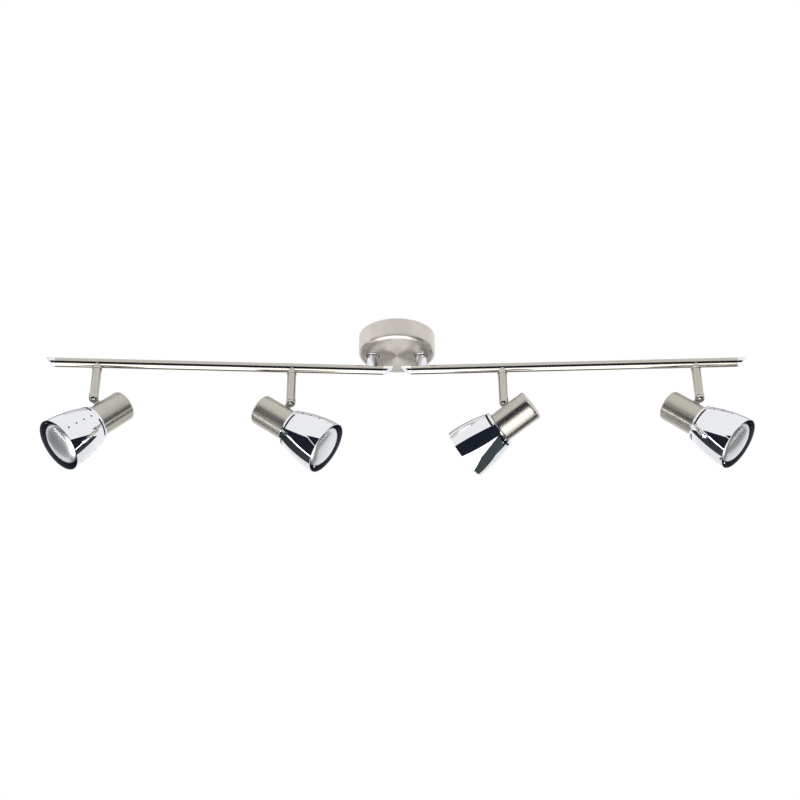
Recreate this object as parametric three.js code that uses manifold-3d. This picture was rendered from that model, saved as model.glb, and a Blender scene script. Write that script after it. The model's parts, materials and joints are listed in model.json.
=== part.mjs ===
// Ceiling spotlight fixture: a round canopy carries two swivelling bars, and each bar carries
// two swivelling stems with a tilting bell-shaded lamp head. Millimetres, +Z up.
// The origin is the centre of the mounting plane, which is the ceiling. +X runs along the bars.
import * as THREE from "three";
import { mergeVertices } from "three/addons/utils/BufferGeometryUtils.js";
import Module from "manifold-3d";

const wasm = await Module();
wasm.setup();

// Driving dimensions ---------------------------------------------------------------------

const gap = 0.3; // clearance between neighbouring pieces
const past = 2; // how far a cutting solid runs past what it cuts

const canopyRadius = 58;
const canopyHeight = 32;
const canopyWall = 1.2;
const canopyFillet = 5;

const bracketWidth = 25;
const bracketThickness = 2;
const bracketTab = 15; // drop of the turned-down ends
const bracketEndClearance = 2.2; // tab face to canopy wall
const boxSlotCentre = 40; // covers the usual ceiling box screw spacings
const boxSlotLength = 14;
const boxSlotWidth = 5;
const canopyScrewRadius = 2;
const canopyScrewLength = 7.9;
const canopyScrewDrop = 9; // below the ceiling
const groundScrewX = 22;
const groundScrewY = 8;
const groundScrewRadius = 1.8;
const groundHeadRadius = 4;
const groundHeadHeight = 3;

const blockLength = 26;
const blockWidth = 16;
const blockHeight = 12;
const leadRadius = 2;
const leadDrop = 9; // below the ceiling, where it leaves the block

const postSpacing = 73;
const postRadius = 8.7;
const postBore = 3;
const postSpigotRadius = 4.9;
const postSpigotTop = 21; // below the ceiling
const flangeRadius = 11.2;
const flangeThickness = 1.6;
const nutRadius = 9.5; // across corners
const nutHeight = 5;

const barDrop = 24.3; // canopy face to bar axis
const barRadius = 7.15;
const barWall = 1;
const barOuterReach = 489; // post to outer tip
const barInnerReach = 31; // post to inner tip
const capLength = 16; // on its long side
const capPlug = 8;
const leftBarToe = 3.6; // degrees that the bar's outer end stands forward at rest
const rightBarToe = 2.3;
const loomRadius = 2;

const stemNear = 122; // post to the inner stem
const stemFar = 411; // post to the outer stem
const stemRadius = 6.9;
const stemBore = 2.5;
const stemSpigotRadius = 3.7;
const spigotBelowAxis = 5.2;
const collarRadius = barRadius - gap / 2;
const collarLip = 0.5;
const collarLipHeight = 1.2;
const collarDrop = 3.4; // below the bar's underside
const pivotDrop = 58.5; // bar axis to tilt pivot
const forkSlot = 3.2;
const forkSlotAbove = 5.6; // above the pivot

const lugThickness = 2.6;
const lugRadius = 4.8;
const lugSocketGap = 1.6; // between its foot and the socket
const pinRadius = 1.8;
const pinHeadRadius = 2.8;
const pinHeadHeight = 1.3;
const pinHeadSunk = 0.2; // below the stem's side
const pinEndWall = 1.9; // metal left beyond the pin in the far side of the fork

const cupRadius = 22.9;
const pivotStandOff = 9.1; // pivot to the cup's side
const cupWall = 1.2;
const cupLength = 57;
const cupFillet = 2.4;
const shadeRear = 24; // from the pivot, along the lamp axis
const shadeLength = 66;
const shadeNeck = 27.2;
const shadeMouth = 40.2;
const shadeWall = 1;
const shadeCorner = 1.8;
const shadeCurve = 1.9; // power of the flare: 1 is a plain cone
const ventRows = 4;
const ventHoles = 4; // in each row
const ventHoleRadius = 1.4;
const ventFirst = 13; // from the shade's rear
const ventPitch = 14.3;
const slotStart = 3.8; // from the shade's rear
const slotWidth = 3;
const slotSpan = 58; // degrees

const lampLength = 100;
const lampRadius = 31.75;
const lampNeckInset = 0.2; // its neck's radius under the screw shell's
const lampWall = 1;
const lampAhead = 3.5; // crown in front of the shade's mouth
const lampDome = 9; // crown back to the widest ring
const capShellRadius = 13.2;
const capShellLength = 24;
const capContactRadius = 4.5;
const capContactHeight = 3;
const socketWall = 4.6;
const socketSides = 12;
const socketBehind = 10; // beyond the lamp's contact
const socketRingReach = 4; // beyond the barrel
const socketRingHeight = 2.5;
const socketAhead = 7; // in front of the shade's rear wall

// Each head: which bar, which stem, compass heading and dip of the lamp axis, turn of the shade.
const heads = [
  { bar: "left", stem: stemFar, heading: -148.8, dip: 44.4, clock: 12 },
  { bar: "left", stem: stemNear, heading: -7.6, dip: 35, clock: 48 },
  { bar: "right", stem: stemNear, heading: 152, dip: 27, clock: 57 },
  { bar: "right", stem: stemFar, heading: -24.7, dip: 42, clock: 42 },
];

// Values worked out from them ------------------------------------------------------------

const radians = THREE.MathUtils.degToRad;
const postX = postSpacing / 2;
const barZ = -canopyHeight - barDrop;
const canopyFloor = -canopyHeight + canopyWall;
const postHole = postSpigotRadius + 2 * gap;
const canopyInner = canopyRadius - canopyWall;
const tabReach = canopyInner - bracketEndClearance;
const stemTop = -barRadius - collarDrop - gap;
const mouthPlane = shadeRear + shadeLength;
const lampCrown = mouthPlane + lampAhead;
const lampContact = lampCrown - lampLength;
const lampNeck = capShellRadius - lampNeckInset;
const cupRear = shadeRear - cupLength;
const cupFront = shadeRear - gap;
const headOffset = cupRadius + pivotStandOff; // pivot to lamp axis
const cupSurface = -pivotStandOff; // along the lug, from the pivot
const socketBore = (capShellRadius + gap) / Math.cos(Math.PI / socketSides);
const socketRadius = socketBore + socketWall;
const socketRing = socketRadius + socketRingReach;
const shadeHole = socketRadius + gap;

// Finishes -------------------------------------------------------------------------------

function finish(color, roughness, metalness) {
  return () => new THREE.MeshStandardMaterial({ color, roughness, metalness });
}

const brushedNickel = finish(0xc2beb6, 0.35, 1);
const polishedChrome = finish(0xe4e6ea, 0.05, 1);
const zincSteel = finish(0xb5b7b8, 0.45, 1);
const greenPaint = finish(0x2f7d46, 0.5, 0.4);
const lampGlassFinish = finish(0xd7dadd, 0.3, 0.3);
const nickelledBrass = finish(0xc9c6bb, 0.35, 1);
const phenolic = finish(0x1c1d1f, 0.4, 0);
const nylon = finish(0xe6e4de, 0.55, 0);
const wireJacket = finish(0x24262a, 0.6, 0);

// Solids ---------------------------------------------------------------------------------

// The geometry with its faces pointing out, whichever way its outline ran.
function facingOut(geometry) {
  const merged = geometry.clone();
  merged.deleteAttribute("normal");
  merged.deleteAttribute("uv");
  const welded = mergeVertices(merged, 1e-5);
  const place = welded.getAttribute("position");
  const index = Array.from(welded.getIndex().array);
  const corner = [new THREE.Vector3(), new THREE.Vector3(), new THREE.Vector3()];
  let volume = 0;
  const kept = [];
  for (let i = 0; i < index.length; i += 3) {
    const [a, b, c] = [index[i], index[i + 1], index[i + 2]];
    if (a === b || b === c || c === a) continue;
    kept.push(a, b, c);
    corner.forEach((point, k) => point.fromBufferAttribute(place, index[i + k]));
    volume += corner[0].dot(corner[1].clone().cross(corner[2]));
  }
  if (volume < 0) kept.reverse();
  welded.setIndex(kept);
  return welded;
}

function toSolid(geometry) {
  const out = facingOut(geometry);
  return new wasm.Manifold(
    new wasm.Mesh({
      numProp: 3,
      vertProperties: new Float32Array(out.getAttribute("position").array),
      triVerts: new Uint32Array(out.getIndex().array),
    }),
  );
}

function toGeometry(solid) {
  const mesh = solid.getMesh();
  const geometry = new THREE.BufferGeometry();
  geometry.setAttribute("position", new THREE.BufferAttribute(mesh.vertProperties, 3));
  geometry.setIndex(new THREE.BufferAttribute(mesh.triVerts, 1));
  return geometry;
}

function cut(body, ...tools) {
  return tools.reduce((left, tool) => left.subtract(tool), body);
}

// An outline of [radius, z] points turned about Z. It starts and ends on the axis, or closes.
function turned(outline, sides) {
  const points = outline.map(([radius, z]) => new THREE.Vector2(radius, z));
  const ends = [points[0], points[points.length - 1]];
  if (ends.some((point) => point.x > 0)) points.push(points[0].clone());
  return toSolid(new THREE.LatheGeometry(points, sides).rotateX(Math.PI / 2));
}

// A round bar along Z from one height to another.
function round(radius, from, to, sides) {
  const geometry = new THREE.CylinderGeometry(radius, radius, Math.abs(to - from), sides);
  geometry.rotateX(Math.PI / 2).translate(0, 0, (from + to) / 2);
  return toSolid(geometry);
}

function block(low, high) {
  const size = high.map((value, i) => value - low[i]);
  const geometry = new THREE.BoxGeometry(...size);
  geometry.translate(...low.map((value, i) => value + size[i] / 2));
  return toSolid(geometry);
}

// A tube of circular section swept along a curve.
function swept(curve, radius, sides, steps) {
  const section = new THREE.Shape().absarc(0, 0, radius, 0, 2 * Math.PI);
  const outline = new THREE.Shape(section.getSpacedPoints(sides).slice(0, sides));
  const geometry = new THREE.ExtrudeGeometry(outline, { steps, extrudePath: curve });
  return toSolid(geometry);
}

// Points of a quarter round from one angle to another, both in degrees.
function arc(centreRadius, centreZ, radius, from, to, steps) {
  return Array.from({ length: steps + 1 }, (_, i) => {
    const angle = radians(from + ((to - from) * i) / steps);
    return [centreRadius + radius * Math.cos(angle), centreZ + radius * Math.sin(angle)];
  });
}

function place(parent, name, solid, material) {
  const mesh = new THREE.Mesh(toGeometry(solid), material());
  mesh.name = name;
  parent.add(mesh);
  return mesh;
}

// Canopy and what it holds ---------------------------------------------------------------

function canopyShell() {
  const inner = canopyInner;
  const innerFillet = canopyFillet - canopyWall;
  const edge = canopyRadius - canopyFillet;
  const outline = [
    [0, -canopyHeight],
    ...arc(edge, canopyFillet - canopyHeight, canopyFillet, -90, 0, 4),
    [canopyRadius, 0],
    [inner, 0],
    ...arc(edge, canopyFillet - canopyHeight, innerFillet, 0, -90, 2),
    [0, canopyFloor],
  ];
  const postHoles = [-1, 1].map((side) =>
    round(postHole, -canopyHeight - past, canopyFloor + past, 16).translate([side * postX, 0, 0]),
  );
  const screwHoles = round(canopyScrewRadius + gap, -canopyRadius - past, canopyRadius + past, 10)
    .rotate([0, 90, 0])
    .translate([0, 0, -canopyScrewDrop]);
  return cut(turned(outline, 40), ...postHoles, screwHoles);
}

function mountingBracket() {
  const half = bracketWidth / 2;
  const strip = block([-tabReach, -half, -bracketThickness], [tabReach, half, 0]);
  const tabs = [-1, 1].map((side) => {
    const faces = [side * (tabReach - bracketThickness), side * tabReach];
    return block(
      [Math.min(...faces), -half, -bracketTab],
      [Math.max(...faces), half, 0],
    );
  });
  const bent = tabs.reduce((left, tab) => left.add(tab), strip);
  const boxSlots = [-1, 1].map((side) =>
    block(
      [side * boxSlotCentre - boxSlotLength / 2, -boxSlotWidth / 2, -bracketThickness - past],
      [side * boxSlotCentre + boxSlotLength / 2, boxSlotWidth / 2, past],
    ),
  );
  const screwHoles = round(canopyScrewRadius + gap, -tabReach - past, tabReach + past, 10)
    .rotate([0, 90, 0])
    .translate([0, 0, -canopyScrewDrop]);
  const groundHole = round(groundScrewRadius + gap, -bracketThickness - past, past, 10)
    .translate([groundScrewX, groundScrewY, 0]);
  return cut(bent, ...boxSlots, screwHoles, groundHole);
}

function canopyScrew(side) {
  const outer = canopyRadius - gap / 2;
  return round(canopyScrewRadius, outer - canopyScrewLength, outer, 10)
    .rotate([0, side * 90, 0])
    .translate([0, 0, -canopyScrewDrop]);
}

function groundScrew() {
  const headTop = -bracketThickness - gap;
  const head = round(groundHeadRadius, headTop - groundHeadHeight, headTop, 6);
  const shank = round(groundScrewRadius, headTop - gap, -gap, 10);
  return head.add(shank).translate([groundScrewX, groundScrewY, 0]);
}

function terminalBlock() {
  const top = -bracketThickness - gap;
  const body = block(
    [-blockLength / 2, -blockWidth / 2, top - blockHeight],
    [blockLength / 2, blockWidth / 2, top],
  );
  const wells = [-1, 0, 1].map((row) =>
    round(2.2, top - blockHeight - past, top - blockHeight / 2, 8)
      .translate([0, (row * blockWidth) / 3.4, 0]),
  );
  return cut(body, ...wells);
}

// From the terminal block, over and down into the bore of a post.
function supplyLead(side) {
  const curve = new THREE.CubicBezierCurve3(
    new THREE.Vector3(side * (blockLength / 2 + gap), 0, -leadDrop),
    new THREE.Vector3(side * (postX - 4), 0, -leadDrop),
    new THREE.Vector3(side * postX, 0, -leadDrop - 3),
    new THREE.Vector3(side * postX, 0, -postSpigotTop - 3),
  );
  return swept(curve, leadRadius, 8, 10);
}

function postFlange() {
  const top = -canopyHeight - gap;
  const outline = [
    [postHole, top],
    [flangeRadius, top],
    [flangeRadius, top - flangeThickness / 2],
    [flangeRadius - flangeThickness / 2, top - flangeThickness],
    [postHole, top - flangeThickness],
  ];
  return turned(outline, 24);
}

// Bars. In a bar's own frame X runs from the post to the outer tip, and Z = 0 is the bar axis.

function barTube() {
  const outer = barOuterReach - capLength - gap;
  const inner = barInnerReach - capLength - gap;
  const along = [0, 90, 0];
  const wall = round(barRadius, -inner, outer, 20).rotate(along);
  const hollow = round(barRadius - barWall, -inner - past, outer + past, 20).rotate(along);
  const postOpening = round(postBore, 0, barRadius + past, 10);
  const stemOpenings = [stemNear, stemFar].map((x) =>
    round(stemSpigotRadius + gap, -barRadius - past, 0, 10).translate([x, 0, 0]),
  );
  return cut(wall, hollow, postOpening, ...stemOpenings);
}

// A plugged end cap cut at 45 degrees, with its long side up. Its joint face is at X = 0.
function barCap() {
  const body = round(barRadius, 0, capLength, 20).rotate([0, 90, 0]);
  const plug = round(barRadius - barWall - gap, -capPlug, gap, 16).rotate([0, 90, 0]);
  const wedge = new THREE.Shape([
    new THREE.Vector2(capLength, barRadius),
    new THREE.Vector2(capLength + past, barRadius),
    new THREE.Vector2(capLength + past, -barRadius - past),
    new THREE.Vector2(capLength - 2 * barRadius - past, -barRadius - past),
  ]);
  const depth = 2 * barRadius + 2 * past;
  const beyond = new THREE.ExtrudeGeometry(wedge, { depth, bevelEnabled: false });
  beyond.rotateX(Math.PI / 2).translate(0, depth / 2, 0);
  return cut(body.add(plug), toSolid(beyond));
}

function barPost() {
  const top = barDrop - gap - flangeThickness - gap;
  const body = round(postRadius, barRadius / 3, top, 20);
  const spigot = round(postSpigotRadius, top - past, -postSpigotTop - barZ, 16);
  const saddle = round(barRadius + gap, -postRadius - past, postRadius + past, 20)
    .rotate([0, 90, 0]);
  const bore = round(postBore, 0, -postSpigotTop - barZ + past, 10);
  return cut(body.add(spigot), saddle, bore);
}

function postNut() {
  const bottom = canopyFloor - barZ + gap;
  const nut = round(nutRadius, bottom, bottom + nutHeight, 6);
  return cut(nut, round(postSpigotRadius + gap, bottom - past, bottom + nutHeight + past, 16));
}

function barWires() {
  const z = loomRadius + gap - spigotBelowAxis;
  return round(loomRadius, -postBore, stemFar + stemSpigotRadius, 8)
    .rotate([0, 90, 0])
    .translate([0, 0, z]);
}

function stemCollar() {
  const bottom = -barRadius - collarDrop;
  const body = round(collarRadius, bottom, -gap, 16);
  const lip = round(collarRadius + collarLip, bottom, bottom + collarLipHeight, 16);
  const saddle = round(barRadius + gap, -collarRadius - past, collarRadius + past, 20)
    .rotate([0, 90, 0]);
  const bore = round(stemSpigotRadius + gap, bottom - past, 0, 8);
  return cut(body.add(lip), saddle, bore);
}

// Arms. In an arm's own frame X is the way its head faces, and Z = 0 is the bar axis.

function stem() {
  const outline = [
    [0, -spigotBelowAxis],
    [stemSpigotRadius, -spigotBelowAxis],
    [stemSpigotRadius, stemTop],
    [stemRadius, stemTop],
    ...arc(0, -pivotDrop, stemRadius, 0, -90, 3),
  ];
  const bore = round(stemBore, -pivotDrop, past, 6);
  const fork = block(
    [-stemRadius - past, -forkSlot / 2, -pivotDrop - stemRadius - past],
    [stemRadius + past, forkSlot / 2, -pivotDrop + forkSlotAbove],
  );
  const pinHole = round(pinRadius + gap, pinEndWall - stemRadius, stemRadius + past, 6)
    .rotate([90, 0, 0])
    .translate([0, 0, -pivotDrop]);
  const seat = stemRadius - pinHeadSunk - pinHeadHeight - gap;
  const counterbore = round(pinHeadRadius + gap, seat, stemRadius + past, 8)
    .rotate([90, 0, 0])
    .translate([0, 0, -pivotDrop]);
  return cut(turned(outline, 12), bore, fork, pinHole, counterbore);
}

function pivotScrew() {
  const crown = stemRadius - pinHeadSunk;
  const seat = crown - pinHeadHeight;
  const end = pinEndWall + gap - stemRadius;
  const outline = [
    [0, end],
    [pinRadius, end],
    [pinRadius, seat],
    [pinHeadRadius, seat],
    [pinHeadRadius, crown - pinHeadHeight / 2],
    [pinHeadRadius * 0.7, crown],
    [0, crown],
  ];
  return turned(outline, 10).rotate([90, 0, 0]).translate([0, 0, -pivotDrop]);
}

// Heads. In a head's own frame the pivot is the origin, Z runs along the lamp axis towards
// the mouth, X points from the lamp axis to the pivot, and Y is the pivot's axis.

function onLampAxis(solid) {
  return solid.translate([-headOffset, 0, 0]);
}

function lug() {
  const foot = socketRadius + lugSocketGap - headOffset;
  const outline = new THREE.Shape();
  outline.moveTo(foot, -lugRadius);
  outline.absarc(0, 0, lugRadius, -Math.PI / 2, Math.PI / 2);
  outline.lineTo(foot, lugRadius);
  outline.holes.push(new THREE.Path().absarc(0, 0, pinRadius + gap, 0, 2 * Math.PI));
  const geometry = new THREE.ExtrudeGeometry(outline, {
    depth: lugThickness,
    bevelEnabled: false,
    curveSegments: 5,
  });
  return toSolid(geometry.translate(0, 0, -lugThickness / 2).rotateX(Math.PI / 2));
}

function cup() {
  const inner = cupRadius - cupWall;
  const outline = [
    [0, cupRear],
    ...arc(cupRadius - cupFillet, cupRear + cupFillet, cupFillet, -90, 0, 3),
    [cupRadius, cupFront],
    [inner, cupFront],
    [inner, cupRear + cupFillet],
    [cupRadius - cupFillet, cupRear + cupWall],
    [0, cupRear + cupWall],
  ];
  const lugSlot = block(
    [cupSurface - cupWall - past, -lugThickness / 2 - gap, -lugRadius - gap],
    [cupSurface + past, lugThickness / 2 + gap, lugRadius + gap],
  );
  return cut(onLampAxis(turned(outline, 18)), lugSlot);
}

// Radius of the shade's outside at a distance from its rear: a flare that eases to the mouth.
function shadeRadius(distance) {
  const left = 1 - distance / shadeLength;
  return shadeMouth - (shadeMouth - shadeNeck) * left ** shadeCurve;
}

function shadeSide(from, to, inset, steps) {
  return Array.from({ length: steps + 1 }, (_, i) => {
    const distance = from + ((to - from) * i) / steps;
    return [shadeRadius(distance) - inset, shadeRear + distance];
  });
}

function ventSlot(turn) {
  const sector = new THREE.Shape();
  const half = radians(slotSpan / 2);
  const inner = shadeNeck - shadeWall - past;
  const outer = shadeRadius(slotStart) + past;
  sector.absarc(0, 0, outer, -half, half);
  sector.absarc(0, 0, inner, half, -half, true);
  const geometry = new THREE.ExtrudeGeometry(sector, {
    depth: slotWidth,
    bevelEnabled: false,
    curveSegments: 4,
  });
  geometry.rotateZ(turn).translate(0, 0, shadeRear + slotStart);
  return toSolid(geometry);
}

function ventHole(turn, distance) {
  const radius = shadeRadius(distance);
  const geometry = new THREE.CylinderGeometry(ventHoleRadius, ventHoleRadius, 3 * past, 6);
  geometry.rotateZ(Math.PI / 2).translate(radius - shadeWall / 2, 0, shadeRear + distance);
  return toSolid(geometry.rotateZ(turn));
}

function shade(clock) {
  const rear = shadeRear;
  const outline = [
    [shadeHole, rear],
    [shadeRadius(0) - shadeCorner, rear],
    ...shadeSide(shadeCorner, shadeLength, 0, 4),
    ...shadeSide(shadeLength, shadeCorner, shadeWall, 4),
    [shadeRadius(0) - shadeCorner, rear + shadeWall],
    [shadeHole, rear + shadeWall],
  ];
  const turns = Array.from({ length: ventRows }, (_, row) => (2 * Math.PI * row) / ventRows);
  const slots = turns.map((turn) => ventSlot(turn + Math.PI / ventRows));
  const holes = turns.flatMap((turn) =>
    Array.from({ length: ventHoles }, (_, i) => ventHole(turn, ventFirst + i * ventPitch)),
  );
  const bell = cut(turned(outline, 20), ...slots, ...holes);
  return onLampAxis(bell.rotate([0, 0, clock]));
}

function socket() {
  const rear = lampContact - socketBehind;
  const ringRear = shadeRear + shadeWall + gap;
  const outline = [
    [0, rear],
    [socketRadius, rear],
    [socketRadius, ringRear],
    [socketRing, ringRear],
    [socketRing, ringRear + socketRingHeight],
    [socketRadius, ringRear + socketRingHeight],
    [socketRadius, shadeRear + socketAhead],
    [socketBore, shadeRear + socketAhead],
    [socketBore, lampContact - gap],
    [0, lampContact - gap],
  ];
  return onLampAxis(turned(outline, socketSides));
}

function lampBase() {
  const shellRear = lampContact + capContactHeight;
  const outline = [
    [0, lampContact],
    [capContactRadius, lampContact],
    [capShellRadius * 0.8, shellRear],
    [capShellRadius, shellRear + capContactHeight],
    [capShellRadius, lampContact + capShellLength],
    [0, lampContact + capShellLength],
  ];
  return onLampAxis(turned(outline, 14));
}

// A blown bulb: a straight neck, a reflector that opens to the widest ring, and a low crown.
function bulbOutline(inset, steps) {
  const neckRear = lampContact + capShellLength + gap;
  const neckFront = shadeRear + socketAhead;
  const widest = lampCrown - lampDome;
  const flare = new THREE.CubicBezierCurve(
    new THREE.Vector2(lampNeck - inset, neckFront),
    new THREE.Vector2(lampNeck - inset + 3, neckFront + 14),
    new THREE.Vector2(lampRadius - inset, widest - 14),
    new THREE.Vector2(lampRadius - inset, widest),
  );
  const crown = new THREE.CubicBezierCurve(
    new THREE.Vector2(lampRadius - inset, widest),
    new THREE.Vector2(lampRadius - inset, widest + 0.6 * lampDome - inset / 2),
    new THREE.Vector2(lampRadius * 0.52, lampCrown - inset),
    new THREE.Vector2(0, lampCrown - inset),
  );
  const points = [...flare.getPoints(steps), ...crown.getPoints(steps).slice(1)];
  return [[lampNeck - inset, neckRear], ...points.map((point) => [point.x, point.y])];
}

function lampGlass() {
  const outline = [...bulbOutline(0, 4), ...bulbOutline(lampWall, 3).reverse()];
  return onLampAxis(turned(outline, 14));
}

// Assembly -------------------------------------------------------------------------------

const fixture = new THREE.Group();
place(fixture, "canopy_shell", canopyShell(), brushedNickel);
place(fixture, "mounting_bracket", mountingBracket(), zincSteel);
place(fixture, "ground_screw", groundScrew(), greenPaint);
place(fixture, "terminal_block", terminalBlock(), nylon);

const bars = {};
for (const [side, sign, turn] of [
  ["left", -1, Math.PI + radians(leftBarToe)],
  ["right", 1, -radians(rightBarToe)],
]) {
  place(fixture, `canopy_screw_${side}`, canopyScrew(sign), zincSteel);
  place(fixture, `supply_lead_${side}`, supplyLead(sign), wireJacket);
  place(fixture, `post_flange_${side}`, postFlange(), polishedChrome)
    .position.set(sign * postX, 0, 0);
  const bar = new THREE.Group();
  bar.position.set(sign * postX, 0, barZ);
  bar.rotation.z = turn;
  fixture.add(bar);
  place(bar, `${side}_bar_tube`, barTube(), brushedNickel);
  place(bar, `${side}_post`, barPost(), polishedChrome);
  place(bar, `${side}_post_nut`, postNut(), zincSteel);
  place(bar, `${side}_bar_wires`, barWires(), wireJacket);
  place(bar, `${side}_outer_cap`, barCap(), polishedChrome)
    .position.set(barOuterReach - capLength, 0, 0);
  const innerCap = place(bar, `${side}_inner_cap`, barCap(), polishedChrome);
  innerCap.position.set(capLength - barInnerReach, 0, 0);
  innerCap.rotation.z = Math.PI;
  bars[side] = { group: bar, turn };
}

heads.forEach((head, i) => {
  const number = i + 1;
  const { group, turn } = bars[head.bar];
  place(group, `stem_collar_${number}`, stemCollar(), brushedNickel)
    .position.set(head.stem, 0, 0);

  const arm = new THREE.Group();
  arm.position.set(head.stem, 0, 0);
  arm.rotation.z = radians(head.heading) - turn;
  group.add(arm);
  place(arm, `stem_${number}`, stem(), brushedNickel);
  place(arm, `pivot_screw_${number}`, pivotScrew(), brushedNickel);

  const dip = radians(head.dip);
  const ahead = new THREE.Vector3(Math.cos(dip), 0, -Math.sin(dip));
  const upright = new THREE.Vector3(Math.sin(dip), 0, Math.cos(dip));
  const sideways = ahead.clone().cross(upright);
  const lampHead = new THREE.Group();
  lampHead.position.set(0, 0, -pivotDrop);
  lampHead.quaternion.setFromRotationMatrix(
    new THREE.Matrix4().makeBasis(upright, sideways, ahead),
  );
  arm.add(lampHead);
  place(lampHead, `lug_${number}`, lug(), zincSteel);
  place(lampHead, `cup_${number}`, cup(), brushedNickel);
  place(lampHead, `socket_${number}`, socket(), phenolic);
  place(lampHead, `shade_${number}`, shade(head.clock), polishedChrome);
  place(lampHead, `lamp_glass_${number}`, lampGlass(), lampGlassFinish);
  place(lampHead, `lamp_base_${number}`, lampBase(), nickelledBrass);
});

export default fixture;
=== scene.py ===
"""A ceiling spotlight fixture: its fine surfaces, its finishes and a plain studio round it."""
import json

import bmesh
import bpy
import numpy as np
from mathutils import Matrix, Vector


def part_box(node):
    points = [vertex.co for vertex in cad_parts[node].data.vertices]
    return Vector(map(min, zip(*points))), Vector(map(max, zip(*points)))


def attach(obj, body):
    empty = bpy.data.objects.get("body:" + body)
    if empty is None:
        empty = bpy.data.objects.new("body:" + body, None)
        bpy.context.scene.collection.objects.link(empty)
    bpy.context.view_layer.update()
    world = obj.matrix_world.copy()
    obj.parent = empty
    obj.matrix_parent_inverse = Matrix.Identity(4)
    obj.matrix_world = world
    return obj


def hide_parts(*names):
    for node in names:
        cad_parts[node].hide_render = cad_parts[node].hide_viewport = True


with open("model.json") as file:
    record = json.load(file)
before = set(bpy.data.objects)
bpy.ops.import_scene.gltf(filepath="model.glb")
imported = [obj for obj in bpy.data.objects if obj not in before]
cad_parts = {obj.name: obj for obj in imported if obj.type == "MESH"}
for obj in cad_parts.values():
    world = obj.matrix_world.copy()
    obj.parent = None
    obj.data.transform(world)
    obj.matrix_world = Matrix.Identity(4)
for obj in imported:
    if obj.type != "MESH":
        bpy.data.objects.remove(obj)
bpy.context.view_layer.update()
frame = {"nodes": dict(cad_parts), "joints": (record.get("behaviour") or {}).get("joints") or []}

bl_info = {
    "name": "Ceiling Spotlight Bar",
    "version": (1, 0, 0),
    "blender": (4, 5, 0),
    "location": "3D View > Sidebar > Spotlight",
    "description": "Fine surfaces, finishes and a plain studio for a four-head ceiling spotlight bar",
    "category": "Object",
}

MM = 0.001
JOINTS = {joint["name"]: joint for joint in frame["joints"]}
SIDES = ("left", "right")
HEADS = (1, 2, 3, 4)
BAR_OF_HEAD = {1: "left", 2: "left", 3: "right", 4: "right"}
FLOOR = -2.4  # the room's floor, in metres below the ceiling


# Sizes and colours that a user would change --------------------------------------------------


def length(name, default_mm, description):
    """A length property, given in millimetres and held in metres."""
    return bpy.props.FloatProperty(
        name=name, description=description, default=default_mm * MM, unit="LENGTH", precision=5
    )


def colour(name, text, description):
    """A colour property from an sRGB hex value."""
    return bpy.props.FloatVectorProperty(
        name=name, description=description, default=from_hex(text), subtype="COLOR", size=3
    )


def from_hex(text):
    """An sRGB hex value as linear red, green and blue."""
    values = np.array([int(text[i : i + 2], 16) for i in (1, 3, 5)]) / 255
    return tuple(np.where(values <= 0.04045, values / 12.92, ((values + 0.055) / 1.055) ** 2.4))


class FixtureSizes(bpy.types.PropertyGroup):
    """The sizes of the fixture's visible pieces."""

    gap: length("Joint gap", 0.3, "Clearance where two pieces meet")
    canopy_wall: length("Canopy wall", 1.2, "Thickness of the spun canopy")
    canopy_fillet: length("Canopy edge", 5, "Rounding of the canopy's lower edge")
    post_radius: length("Post radius", 8.7, "Radius of the posts under the canopy")
    post_hole: length("Post hole", 5.5, "Radius of the canopy's holes for the posts")
    screw_hole: length("Screw hole", 2.3, "Radius of the canopy's side screw holes")
    screw_drop: length("Screw drop", 9, "Side screws below the ceiling")
    bar_radius: length("Bar radius", 7.15, "Radius of the bar tubes")
    bar_wall: length("Bar wall", 1, "Thickness of the bar tubes")
    cap_length: length("Cap length", 16, "Bar caps on their long side")
    stem_radius: length("Stem radius", 6.9, "Radius of the stems")
    collar_radius: length("Collar radius", 7, "Radius of the collars over the stems")
    collar_lip: length("Collar lip", 0.5, "How far the collar's lip stands out")
    collar_drop: length("Collar drop", 3.4, "Collar below the bar's underside")
    fork_slot: length("Fork slot", 3.2, "Width of the stem's slot for the lug")
    lug_radius: length("Lug radius", 4.8, "Half the lug's width, and its round end")
    head_offset: length("Head offset", 32, "Tilt pivot to the lamp's axis")
    cup_radius: length("Cup radius", 22.9, "Radius of the cup behind each shade")
    cup_length: length("Cup length", 57, "Cup, with the gap in front of it")
    cup_wall: length("Cup wall", 1.2, "Thickness of the cup")
    shade_rear: length("Shade rear", 24, "Pivot to the shade's rear, along the lamp's axis")
    shade_length: length("Shade length", 66, "Shade, rear to mouth")
    shade_neck: length("Shade neck", 27.2, "Shade's radius at its rear")
    shade_mouth: length("Shade mouth", 39.85, "Shade's radius at its mouth")
    shade_wall: length("Shade wall", 1, "Thickness of the spun shade")
    vent_hole: length("Vent hole", 1.4, "Radius of the round vents")
    vent_first: length("First vent", 13, "First round vent from the shade's rear")
    vent_pitch: length("Vent pitch", 14.3, "Spacing of the round vents along the shade")
    slot_place: length("Slot place", 5.3, "Middle of the vent slots from the shade's rear")
    slot_width: length("Slot width", 3, "Width of the vent slots")
    lamp_radius: length("Lamp radius", 31.75, "Widest radius of the lamp's glass")
    lamp_length: length("Lamp length", 100, "Lamp, contact to crown")
    lamp_ahead: length("Lamp ahead", 3.5, "Lamp's crown in front of the shade's mouth")
    lamp_dome: length("Lamp dome", 9, "Lamp's crown back to its widest ring")


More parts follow.
